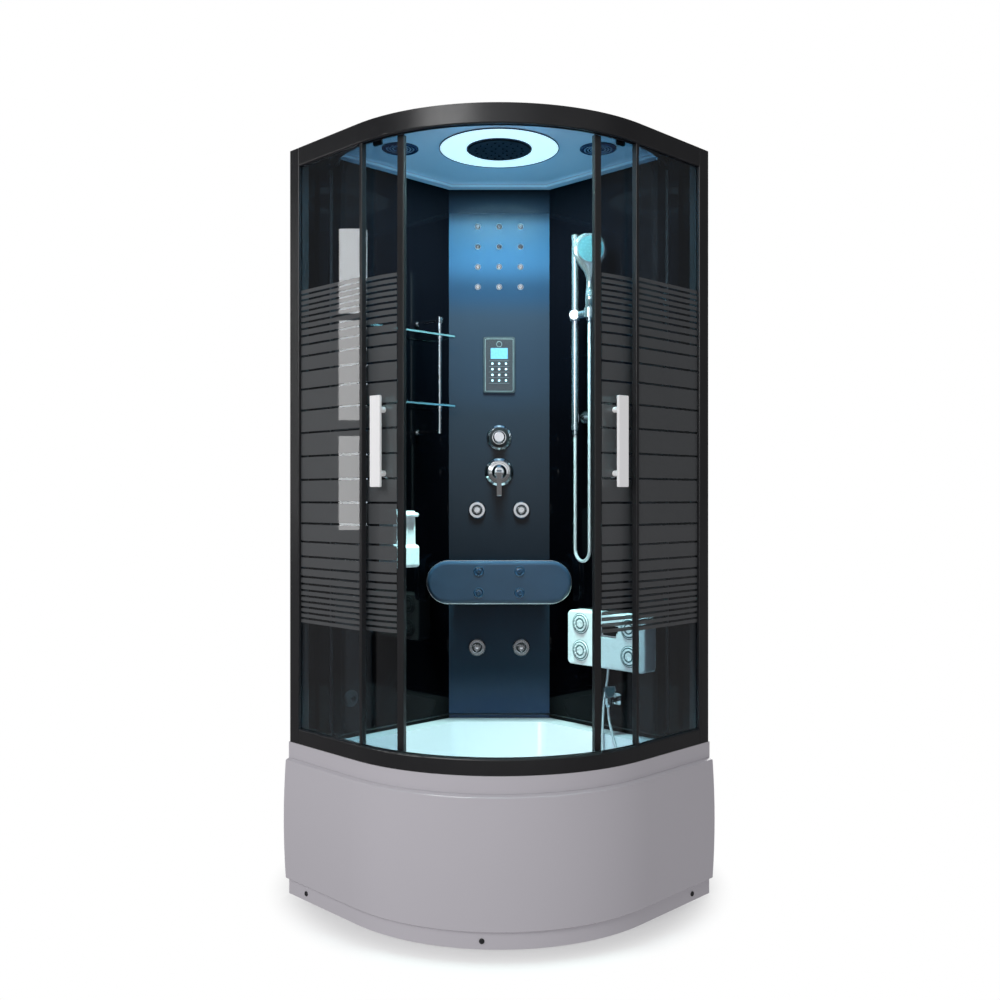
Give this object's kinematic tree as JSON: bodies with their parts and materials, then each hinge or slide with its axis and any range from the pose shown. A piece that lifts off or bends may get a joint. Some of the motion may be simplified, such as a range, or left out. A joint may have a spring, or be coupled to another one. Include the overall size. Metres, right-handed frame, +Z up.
{
  "type": "corner steam shower cabin",
  "caption": "Corner steam shower cabin: deep quadrant tub, black frame, smoked glass with frosted stripes, curved sliding doors, control column, lit ceiling.",
  "frame": {"origin": "on the floor, at the middle of the bounding box's bottom", "axes": "+Z up, front of the cabin towards -Y, +X to the right seen from the front; the house corner is at +Y"},
  "size_m": [1.27, 1.0358, 2.249],
  "materials": {
    "acrylic_white": "glossy moulded acrylic",
    "black_aluminium": "satin black anodised",
    "smoked_glass": "smoked, with frosted stripes",
    "black_glass": "polished black",
    "column_blue": "glossy dark blue",
    "chromed_plastic": "chromed",
    "chrome": "polished",
    "brass": "plain",
    "clear_glass": "clear, polished edges",
    "white_plastic": "gloss white",
    "dark_plastic": "matt black",
    "pad_blue": "moulded skin, dark blue",
    "lamp_white": "luminous diffuser",
    "metal_hose": "wound metal",
    "galvanised_steel": "zinc plated",
    "grey_plastic": "matt grey"
  },
  "bodies": {
    "cabin": {"tub_shell": "acrylic_white", "tub_apron": "acrylic_white", "apron_screw_caps": "dark_plastic", "support_frame": "galvanised_steel", "levelling_feet": "galvanised_steel", "waste_trap": "grey_plastic", "bottom_rail": "black_aluminium", "top_rail": "black_aluminium", "front_posts": "black_aluminium", "fixed_glass_left": "smoked_glass", "fixed_glass_right": "smoked_glass", "back_glass_left": "black_glass", "back_glass_right": "black_glass", "back_frame": "black_aluminium", "column_panel": "column_blue", "jet_fittings": "chromed_plastic", "control_panel": "dark_plastic", "diverter_valve": "brass", "mixer_valve": "brass", "massage_pad": "pad_blue", "pad_jets": "pad_blue", "roof_cap": "acrylic_white", "led_ring": "lamp_white", "overhead_rose": "dark_plastic", "fan_housing": "dark_plastic", "loudspeaker": "dark_plastic", "shelf_post": "chrome", "glass_shelves": "clear_glass", "soap_dispenser": "white_plastic", "slide_rail": "chrome", "shower_hose": "metal_hose", "foot_massager": "white_plastic", "sprayer_holder": "chromed_plastic", "sprayer_hose": "metal_hose", "steam_generator": "grey_plastic", "steam_outlet": "chromed_plastic"},
    "door_left": {"door_glass_left": "smoked_glass", "door_frame_left": "black_aluminium", "door_handle_left": "chrome"},
    "roller_left_1": {"door_roller_left_1": "grey_plastic"},
    "roller_left_2": {"door_roller_left_2": "grey_plastic"},
    "door_right": {"door_glass_right": "smoked_glass", "door_frame_right": "black_aluminium", "door_handle_right": "chrome"},
    "roller_right_1": {"door_roller_right_1": "grey_plastic"},
    "roller_right_2": {"door_roller_right_2": "grey_plastic"},
    "jet_1": {"jet_ball_1": "chromed_plastic"},
    "jet_2": {"jet_ball_2": "chromed_plastic"},
    "jet_3": {"jet_ball_3": "chromed_plastic"},
    "jet_4": {"jet_ball_4": "chromed_plastic"},
    "diverter": {"diverter_knob": "chromed_plastic"},
    "mixer": {"mixer_cap": "chromed_plastic"},
    "lever": {"mixer_lever": "chrome"},
    "button": {"soap_button": "white_plastic"},
    "slider": {"rail_slider": "chromed_plastic"},
    "cradle": {"handset_cradle": "chromed_plastic"},
    "handset": {"hand_shower": "chromed_plastic"},
    "sprayer": {"foot_sprayer": "chromed_plastic"},
    "impeller": {"fan_impeller": "dark_plastic"},
    "plug": {"waste_plug": "chromed_plastic"}
  },
  "joints": [
    {"name": "door_left_slide", "type": "hinge", "parent": "cabin", "child": "door_left", "pos_m": [0, 0.05407, 1.3], "axis": [0, 0, 1], "range_deg": [0, 29.3]},
    {"name": "door_right_slide", "type": "hinge", "parent": "cabin", "child": "door_right", "pos_m": [0, 0.05407, 1.3], "axis": [0, 0, 1], "range_deg": [-29.3, 0]},
    {"name": "roller_left_1_spin", "type": "hinge", "parent": "door_left", "child": "roller_left_1", "pos_m": [-0.33916, -0.34444, 2.16565], "axis": [-0.6481, -0.7615, 0], "continuous": true},
    {"name": "roller_left_2_spin", "type": "hinge", "parent": "door_left", "child": "roller_left_2", "pos_m": [-0.4758, -0.16377, 2.16565], "axis": [-0.9092, -0.4163, 0], "continuous": true},
    {"name": "roller_right_1_spin", "type": "hinge", "parent": "door_right", "child": "roller_right_1", "pos_m": [0.33916, -0.34444, 2.16565], "axis": [0.6481, -0.7615, 0], "continuous": true},
    {"name": "roller_right_2_spin", "type": "hinge", "parent": "door_right", "child": "roller_right_2", "pos_m": [0.4758, -0.16377, 2.16565], "axis": [0.9092, -0.4163, 0], "continuous": true},
    {"name": "diverter_turn", "type": "hinge", "parent": "cabin", "child": "diverter", "pos_m": [0, 0.26813, 1.374], "axis": [0, -1, 0], "range_deg": [-120, 120]},
    {"name": "mixer_turn", "type": "hinge", "parent": "cabin", "child": "mixer", "pos_m": [0, 0.26813, 1.259], "axis": [0, -1, 0], "range_deg": [-50, 50]},
    {"name": "mixer_lift", "type": "hinge", "parent": "mixer", "child": "lever", "pos_m": [0, 0.24963, 1.259], "axis": [-1, 0, 0], "range_deg": [0, 25]},
    {"name": "jet_1_tilt", "type": "hinge", "parent": "cabin", "child": "jet_1", "pos_m": [-0.0736, 0.28813, 1.133], "axis": [1, 0, 0], "range_deg": [-12, 12]},
    {"name": "jet_2_tilt", "type": "hinge", "parent": "cabin", "child": "jet_2", "pos_m": [0.0736, 0.28813, 1.133], "axis": [1, 0, 0], "range_deg": [-12, 12]},
    {"name": "jet_3_tilt", "type": "hinge", "parent": "cabin", "child": "jet_3", "pos_m": [-0.0736, 0.28813, 0.676], "axis": [1, 0, 0], "range_deg": [-12, 12]},
    {"name": "jet_4_tilt", "type": "hinge", "parent": "cabin", "child": "jet_4", "pos_m": [0.0736, 0.28813, 0.676], "axis": [1, 0, 0], "range_deg": [-12, 12]},
    {"name": "soap_press", "type": "slide", "parent": "cabin", "child": "button", "axis": [0, 0, -1], "range_m": [0, 0.006], "stiffness_N_per_m": 400, "springref_m": -0.003},
    {"name": "slider_travel", "type": "slide", "parent": "cabin", "child": "slider", "axis": [0, 0, 1], "range_m": [-0.262, 0.13], "deforming": ["shower_hose"]},
    {"name": "cradle_tilt", "type": "hinge", "parent": "slider", "child": "cradle", "pos_m": [0.28284, 0.07387, 1.753], "axis": [0.548, -0.8365, 0], "range_deg": [-8, 18]},
    {"name": "handset_lift", "type": "slide", "parent": "cradle", "child": "handset", "axis": [0, 0, 1], "range_m": [0, 0.05]},
    {"name": "sprayer_lift", "type": "slide", "parent": "cabin", "child": "sprayer", "axis": [0, 0, 1], "range_m": [0, 0.035], "deforming": ["sprayer_hose"]},
    {"name": "fan_spin", "type": "hinge", "parent": "cabin", "child": "impeller", "pos_m": [-0.293, -0.104, 2.2275], "axis": [0, 0, 1], "continuous": true},
    {"name": "plug_lift", "type": "slide", "parent": "cabin", "child": "plug", "axis": [0, 0, 1], "range_m": [0, 0.008]}
  ],
  "couplings": [
    {"joint": "roller_left_1_spin", "follows": "door_left_slide", "ratio": -45.504},
    {"joint": "roller_left_2_spin", "follows": "door_left_slide", "ratio": -45.504},
    {"joint": "roller_right_1_spin", "follows": "door_right_slide", "ratio": -45.504},
    {"joint": "roller_right_2_spin", "follows": "door_right_slide", "ratio": -45.504}
  ]
}
